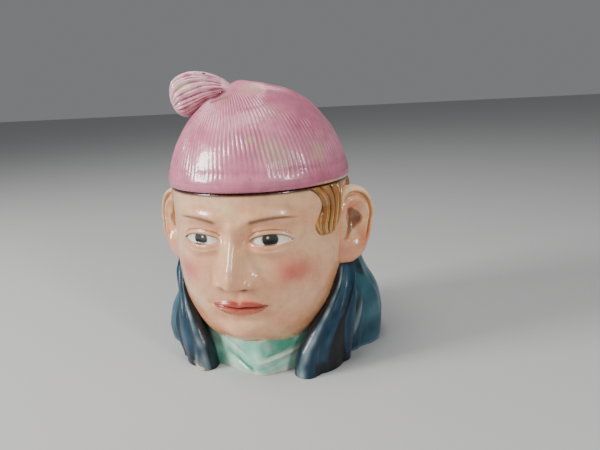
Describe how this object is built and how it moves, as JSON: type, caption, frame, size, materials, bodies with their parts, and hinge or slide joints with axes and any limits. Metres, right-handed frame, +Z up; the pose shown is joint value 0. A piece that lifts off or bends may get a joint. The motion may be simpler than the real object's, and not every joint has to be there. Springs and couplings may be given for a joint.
{
  "type": "figural humidor",
  "caption": "Lidded tobacco jar of glazed earthenware: a head in a coat collar and neckcloth, hollow, whose knitted cap with a tassel lifts off as the lid.",
  "frame": {"origin": "on the flat underside, under the axis of the round mouth", "axes": "+Z up along the mouth's axis, -Y the way the coat's front faces, +X towards the figure's left"},
  "size_m": [0.1175, 0.1029, 0.1422],
  "materials": {
    "jar_glaze": "glossy, finely crazed glaze painted in flesh, dark blue and turquoise",
    "cap_glaze": "glossy, worn pink glaze"
  },
  "bodies": {
    "root": {"head_jar": "jar_glaze", "cap_lid": "cap_glaze"}
  },
  "joints": []
}
